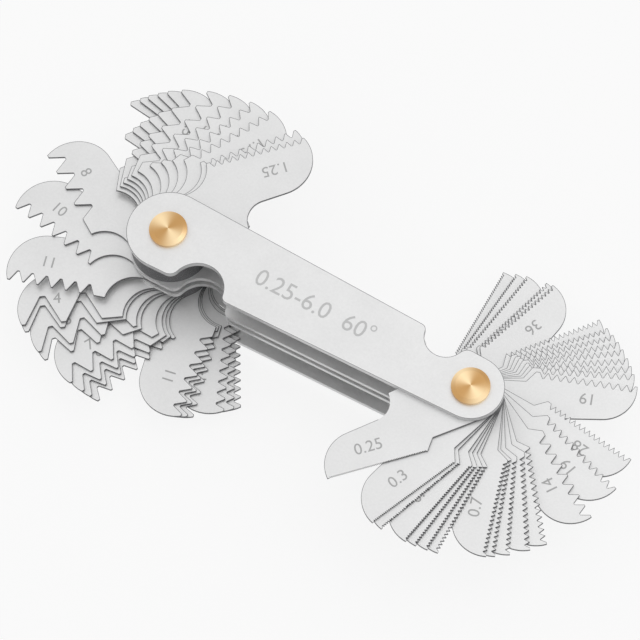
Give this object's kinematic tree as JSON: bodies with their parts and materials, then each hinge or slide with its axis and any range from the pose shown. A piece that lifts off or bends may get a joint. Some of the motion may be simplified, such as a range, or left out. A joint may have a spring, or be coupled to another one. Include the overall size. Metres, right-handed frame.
{
  "type": "thread pitch gauge",
  "caption": "Folding thread pitch gauge: toothed steel blades that turn on two rivets in a flat two-channel case.",
  "frame": {"origin": "middle of the left rivet's rear head face, on which the gauge lies", "axes": "+X along the case to the right rivet, +Y to the folded webs, +Z to the front plate"},
  "size_m": [0.1046, 0.0524, 0.0164],
  "materials": {
    "case_steel": "satin",
    "blade_steel": "satin",
    "rivet_brass": "turned"
  },
  "bodies": {
    "case": {"case_channels": "case_steel", "rivets": "rivet_brass"},
    "metric_blade_1_25": {"metric_blade_1_25": "blade_steel"},
    "metric_blade_1_5": {"metric_blade_1_5": "blade_steel"},
    "metric_blade_1_75": {"metric_blade_1_75": "blade_steel"},
    "metric_blade_2": {"metric_blade_2": "blade_steel"},
    "metric_blade_2_5": {"metric_blade_2_5": "blade_steel"},
    "metric_blade_3": {"metric_blade_3": "blade_steel"},
    "metric_blade_3_5": {"metric_blade_3_5": "blade_steel"},
    "metric_blade_4": {"metric_blade_4": "blade_steel"},
    "metric_blade_4_5": {"metric_blade_4_5": "blade_steel"},
    "metric_blade_5": {"metric_blade_5": "blade_steel"},
    "metric_blade_5_5": {"metric_blade_5_5": "blade_steel"},
    "metric_blade_6": {"metric_blade_6": "blade_steel"},
    "metric_blade_0_25": {"metric_blade_0_25": "blade_steel"},
    "metric_blade_0_3": {"metric_blade_0_3": "blade_steel"},
    "metric_blade_0_35": {"metric_blade_0_35": "blade_steel"},
    "metric_blade_0_4": {"metric_blade_0_4": "blade_steel"},
    "metric_blade_0_45": {"metric_blade_0_45": "blade_steel"},
    "metric_blade_0_5": {"metric_blade_0_5": "blade_steel"},
    "metric_blade_0_6": {"metric_blade_0_6": "blade_steel"},
    "metric_blade_0_7": {"metric_blade_0_7": "blade_steel"},
    "metric_blade_0_75": {"metric_blade_0_75": "blade_steel"},
    "metric_blade_0_8": {"metric_blade_0_8": "blade_steel"},
    "metric_blade_0_9": {"metric_blade_0_9": "blade_steel"},
    "metric_blade_1": {"metric_blade_1": "blade_steel"},
    "pipe_blade_8": {"pipe_blade_8": "blade_steel"},
    "pipe_blade_10": {"pipe_blade_10": "blade_steel"},
    "pipe_blade_11": {"pipe_blade_11": "blade_steel"},
    "pipe_blade_14": {"pipe_blade_14": "blade_steel"},
    "pipe_blade_19": {"pipe_blade_19": "blade_steel"},
    "pipe_blade_28": {"pipe_blade_28": "blade_steel"},
    "inch_blade_4": {"inch_blade_4": "blade_steel"},
    "inch_blade_4_5": {"inch_blade_4_5": "blade_steel"},
    "inch_blade_5": {"inch_blade_5": "blade_steel"},
    "inch_blade_6": {"inch_blade_6": "blade_steel"},
    "inch_blade_7": {"inch_blade_7": "blade_steel"},
    "inch_blade_8": {"inch_blade_8": "blade_steel"},
    "inch_blade_9": {"inch_blade_9": "blade_steel"},
    "inch_blade_10": {"inch_blade_10": "blade_steel"},
    "inch_blade_11": {"inch_blade_11": "blade_steel"},
    "inch_blade_12": {"inch_blade_12": "blade_steel"},
    "inch_blade_13": {"inch_blade_13": "blade_steel"},
    "inch_blade_14": {"inch_blade_14": "blade_steel"},
    "inch_blade_16": {"inch_blade_16": "blade_steel"},
    "inch_blade_18": {"inch_blade_18": "blade_steel"},
    "inch_blade_19": {"inch_blade_19": "blade_steel"},
    "inch_blade_20": {"inch_blade_20": "blade_steel"},
    "inch_blade_22": {"inch_blade_22": "blade_steel"},
    "inch_blade_24": {"inch_blade_24": "blade_steel"},
    "inch_blade_25": {"inch_blade_25": "blade_steel"},
    "inch_blade_26": {"inch_blade_26": "blade_steel"},
    "inch_blade_28": {"inch_blade_28": "blade_steel"},
    "inch_blade_30": {"inch_blade_30": "blade_steel"},
    "inch_blade_32": {"inch_blade_32": "blade_steel"},
    "inch_blade_36": {"inch_blade_36": "blade_steel"},
    "inch_blade_40": {"inch_blade_40": "blade_steel"},
    "inch_blade_48": {"inch_blade_48": "blade_steel"},
    "inch_blade_60": {"inch_blade_60": "blade_steel"},
    "inch_blade_62": {"inch_blade_62": "blade_steel"}
  },
  "joints": [
    {"name": "metric_blade_1_25_pivot", "type": "hinge", "parent": "case", "child": "metric_blade_1_25", "pos_m": [0, 0, 0.01446], "axis": [0, 0, 1], "range_deg": [-23.5, 291.5]},
    {"name": "metric_blade_1_5_pivot", "type": "hinge", "parent": "case", "child": "metric_blade_1_5", "pos_m": [0, 0, 0.01408], "axis": [0, 0, 1], "range_deg": [-28, 287]},
    {"name": "metric_blade_1_75_pivot", "type": "hinge", "parent": "case", "child": "metric_blade_1_75", "pos_m": [0, 0, 0.0137], "axis": [0, 0, 1], "range_deg": [-40, 275]},
    {"name": "metric_blade_2_pivot", "type": "hinge", "parent": "case", "child": "metric_blade_2", "pos_m": [0, 0, 0.01332], "axis": [0, 0, 1], "range_deg": [-48, 267]},
    {"name": "metric_blade_2_5_pivot", "type": "hinge", "parent": "case", "child": "metric_blade_2_5", "pos_m": [0, 0, 0.01294], "axis": [0, 0, 1], "range_deg": [-56, 259]},
    {"name": "metric_blade_3_pivot", "type": "hinge", "parent": "case", "child": "metric_blade_3", "pos_m": [0, 0, 0.01256], "axis": [0, 0, 1], "range_deg": [-64, 251]},
    {"name": "metric_blade_3_5_pivot", "type": "hinge", "parent": "case", "child": "metric_blade_3_5", "pos_m": [0, 0, 0.01218], "axis": [0, 0, 1], "range_deg": [-73, 242]},
    {"name": "metric_blade_4_pivot", "type": "hinge", "parent": "case", "child": "metric_blade_4", "pos_m": [0, 0, 0.01179], "axis": [0, 0, 1], "range_deg": [-78, 237]},
    {"name": "metric_blade_4_5_pivot", "type": "hinge", "parent": "case", "child": "metric_blade_4_5", "pos_m": [0, 0, 0.01141], "axis": [0, 0, 1], "range_deg": [-81.5, 233.5]},
    {"name": "metric_blade_5_pivot", "type": "hinge", "parent": "case", "child": "metric_blade_5", "pos_m": [0, 0, 0.01103], "axis": [0, 0, 1], "range_deg": [-85, 230]},
    {"name": "metric_blade_5_5_pivot", "type": "hinge", "parent": "case", "child": "metric_blade_5_5", "pos_m": [0, 0, 0.01065], "axis": [0, 0, 1], "range_deg": [-88, 227]},
    {"name": "metric_blade_6_pivot", "type": "hinge", "parent": "case", "child": "metric_blade_6", "pos_m": [0, 0, 0.01027], "axis": [0, 0, 1], "range_deg": [-91.5, 223.5]},
    {"name": "metric_blade_0_25_pivot", "type": "hinge", "parent": "case", "child": "metric_blade_0_25", "pos_m": [0.0532, 0, 0.01446], "axis": [0, 0, 1], "range_deg": [-61, 249]},
    {"name": "metric_blade_0_3_pivot", "type": "hinge", "parent": "case", "child": "metric_blade_0_3", "pos_m": [0.0532, 0, 0.01408], "axis": [0, 0, 1], "range_deg": [-82.5, 227.5]},
    {"name": "metric_blade_0_35_pivot", "type": "hinge", "parent": "case", "child": "metric_blade_0_35", "pos_m": [0.0532, 0, 0.0137], "axis": [0, 0, 1], "range_deg": [-86, 224]},
    {"name": "metric_blade_0_4_pivot", "type": "hinge", "parent": "case", "child": "metric_blade_0_4", "pos_m": [0.0532, 0, 0.01332], "axis": [0, 0, 1], "range_deg": [-95, 215]},
    {"name": "metric_blade_0_45_pivot", "type": "hinge", "parent": "case", "child": "metric_blade_0_45", "pos_m": [0.0532, 0, 0.01294], "axis": [0, 0, 1], "range_deg": [-98.5, 211.5]},
    {"name": "metric_blade_0_5_pivot", "type": "hinge", "parent": "case", "child": "metric_blade_0_5", "pos_m": [0.0532, 0, 0.01256], "axis": [0, 0, 1], "range_deg": [-102.5, 207.5]},
    {"name": "metric_blade_0_6_pivot", "type": "hinge", "parent": "case", "child": "metric_blade_0_6", "pos_m": [0.0532, 0, 0.01218], "axis": [0, 0, 1], "range_deg": [-106, 204]},
    {"name": "metric_blade_0_7_pivot", "type": "hinge", "parent": "case", "child": "metric_blade_0_7", "pos_m": [0.0532, 0, 0.01179], "axis": [0, 0, 1], "range_deg": [-122, 188]},
    {"name": "metric_blade_0_75_pivot", "type": "hinge", "parent": "case", "child": "metric_blade_0_75", "pos_m": [0.0532, 0, 0.01141], "axis": [0, 0, 1], "range_deg": [-125, 185]},
    {"name": "metric_blade_0_8_pivot", "type": "hinge", "parent": "case", "child": "metric_blade_0_8", "pos_m": [0.0532, 0, 0.01103], "axis": [0, 0, 1], "range_deg": [-130, 180]},
    {"name": "metric_blade_0_9_pivot", "type": "hinge", "parent": "case", "child": "metric_blade_0_9", "pos_m": [0.0532, 0, 0.01065], "axis": [0, 0, 1], "range_deg": [-137, 173]},
    {"name": "metric_blade_1_pivot", "type": "hinge", "parent": "case", "child": "metric_blade_1", "pos_m": [0.0532, 0, 0.01027], "axis": [0, 0, 1], "range_deg": [-143, 167]},
    {"name": "pipe_blade_8_pivot", "type": "hinge", "parent": "case", "child": "pipe_blade_8", "pos_m": [0, 0, 0.00894], "axis": [0, 0, 1], "range_deg": [-126.5, 188.5]},
    {"name": "pipe_blade_10_pivot", "type": "hinge", "parent": "case", "child": "pipe_blade_10", "pos_m": [0, 0, 0.00856], "axis": [0, 0, 1], "range_deg": [-148.5, 166.5]},
    {"name": "pipe_blade_11_pivot", "type": "hinge", "parent": "case", "child": "pipe_blade_11", "pos_m": [0, 0, 0.00818], "axis": [0, 0, 1], "range_deg": [-175.5, 139.5]},
    {"name": "pipe_blade_14_pivot", "type": "hinge", "parent": "case", "child": "pipe_blade_14", "pos_m": [0.0532, 0, 0.00894], "axis": [0, 0, 1], "range_deg": [-161.5, 148.5]},
    {"name": "pipe_blade_19_pivot", "type": "hinge", "parent": "case", "child": "pipe_blade_19", "pos_m": [0.0532, 0, 0.00856], "axis": [0, 0, 1], "range_deg": [-175, 135]},
    {"name": "pipe_blade_28_pivot", "type": "hinge", "parent": "case", "child": "pipe_blade_28", "pos_m": [0.0532, 0, 0.00818], "axis": [0, 0, 1], "range_deg": [-187, 123]},
    {"name": "inch_blade_4_pivot", "type": "hinge", "parent": "case", "child": "inch_blade_4", "pos_m": [0, 0, 0.00685], "axis": [0, 0, 1], "range_deg": [-192.5, 122.5]},
    {"name": "inch_blade_4_5_pivot", "type": "hinge", "parent": "case", "child": "inch_blade_4_5", "pos_m": [0, 0, 0.00647], "axis": [0, 0, 1], "range_deg": [-195, 120]},
    {"name": "inch_blade_5_pivot", "type": "hinge", "parent": "case", "child": "inch_blade_5", "pos_m": [0, 0, 0.00609], "axis": [0, 0, 1], "range_deg": [-203.5, 111.5]},
    {"name": "inch_blade_6_pivot", "type": "hinge", "parent": "case", "child": "inch_blade_6", "pos_m": [0, 0, 0.00571], "axis": [0, 0, 1], "range_deg": [-207, 108]},
    {"name": "inch_blade_7_pivot", "type": "hinge", "parent": "case", "child": "inch_blade_7", "pos_m": [0, 0, 0.00534], "axis": [0, 0, 1], "range_deg": [-219, 96]},
    {"name": "inch_blade_8_pivot", "type": "hinge", "parent": "case", "child": "inch_blade_8", "pos_m": [0, 0, 0.00496], "axis": [0, 0, 1], "range_deg": [-224, 91]},
    {"name": "inch_blade_9_pivot", "type": "hinge", "parent": "case", "child": "inch_blade_9", "pos_m": [0, 0, 0.00458], "axis": [0, 0, 1], "range_deg": [-227, 88]},
    {"name": "inch_blade_10_pivot", "type": "hinge", "parent": "case", "child": "inch_blade_10", "pos_m": [0, 0, 0.00419], "axis": [0, 0, 1], "range_deg": [-230, 85]},
    {"name": "inch_blade_11_pivot", "type": "hinge", "parent": "case", "child": "inch_blade_11", "pos_m": [0, 0, 0.00381], "axis": [0, 0, 1], "range_deg": [-259, 56]},
    {"name": "inch_blade_12_pivot", "type": "hinge", "parent": "case", "child": "inch_blade_12", "pos_m": [0, 0, 0.00344], "axis": [0, 0, 1], "range_deg": [-261, 54]},
    {"name": "inch_blade_13_pivot", "type": "hinge", "parent": "case", "child": "inch_blade_13", "pos_m": [0, 0, 0.00305], "axis": [0, 0, 1], "range_deg": [-263, 52]},
    {"name": "inch_blade_14_pivot", "type": "hinge", "parent": "case", "child": "inch_blade_14", "pos_m": [0, 0, 0.00267], "axis": [0, 0, 1], "range_deg": [-273.5, 41.5]},
    {"name": "inch_blade_16_pivot", "type": "hinge", "parent": "case", "child": "inch_blade_16", "pos_m": [0, 0, 0.0023], "axis": [0, 0, 1], "range_deg": [-277, 38]},
    {"name": "inch_blade_18_pivot", "type": "hinge", "parent": "case", "child": "inch_blade_18", "pos_m": [0, 0, 0.00192], "axis": [0, 0, 1], "range_deg": [-279.5, 35.5]},
    {"name": "inch_blade_19_pivot", "type": "hinge", "parent": "case", "child": "inch_blade_19", "pos_m": [0.0532, 0, 0.00685], "axis": [0, 0, 1], "range_deg": [-215, 95]},
    {"name": "inch_blade_20_pivot", "type": "hinge", "parent": "case", "child": "inch_blade_20", "pos_m": [0.0532, 0, 0.00647], "axis": [0, 0, 1], "range_deg": [-220, 90]},
    {"name": "inch_blade_22_pivot", "type": "hinge", "parent": "case", "child": "inch_blade_22", "pos_m": [0.0532, 0, 0.00609], "axis": [0, 0, 1], "range_deg": [-223.5, 86.5]},
    {"name": "inch_blade_24_pivot", "type": "hinge", "parent": "case", "child": "inch_blade_24", "pos_m": [0.0532, 0, 0.00571], "axis": [0, 0, 1], "range_deg": [-227, 83]},
    {"name": "inch_blade_25_pivot", "type": "hinge", "parent": "case", "child": "inch_blade_25", "pos_m": [0.0532, 0, 0.00534], "axis": [0, 0, 1], "range_deg": [-231, 79]},
    {"name": "inch_blade_26_pivot", "type": "hinge", "parent": "case", "child": "inch_blade_26", "pos_m": [0.0532, 0, 0.00496], "axis": [0, 0, 1], "range_deg": [-234.5, 75.5]},
    {"name": "inch_blade_28_pivot", "type": "hinge", "parent": "case", "child": "inch_blade_28", "pos_m": [0.0532, 0, 0.00458], "axis": [0, 0, 1], "range_deg": [-238, 72]},
    {"name": "inch_blade_30_pivot", "type": "hinge", "parent": "case", "child": "inch_blade_30", "pos_m": [0.0532, 0, 0.00419], "axis": [0, 0, 1], "range_deg": [-241.5, 68.5]},
    {"name": "inch_blade_32_pivot", "type": "hinge", "parent": "case", "child": "inch_blade_32", "pos_m": [0.0532, 0, 0.00381], "axis": [0, 0, 1], "range_deg": [-246, 64]},
    {"name": "inch_blade_36_pivot", "type": "hinge", "parent": "case", "child": "inch_blade_36", "pos_m": [0.0532, 0, 0.00344], "axis": [0, 0, 1], "range_deg": [-267, 43]},
    {"name": "inch_blade_40_pivot", "type": "hinge", "parent": "case", "child": "inch_blade_40", "pos_m": [0.0532, 0, 0.00305], "axis": [0, 0, 1], "range_deg": [-269.5, 40.5]},
    {"name": "inch_blade_48_pivot", "type": "hinge", "parent": "case", "child": "inch_blade_48", "pos_m": [0.0532, 0, 0.00267], "axis": [0, 0, 1], "range_deg": [-277, 33]},
    {"name": "inch_blade_60_pivot", "type": "hinge", "parent": "case", "child": "inch_blade_60", "pos_m": [0.0532, 0, 0.0023], "axis": [0, 0, 1], "range_deg": [-281, 29]},
    {"name": "inch_blade_62_pivot", "type": "hinge", "parent": "case", "child": "inch_blade_62", "pos_m": [0.0532, 0, 0.00192], "axis": [0, 0, 1], "range_deg": [-285.5, 24.5]}
  ]
}
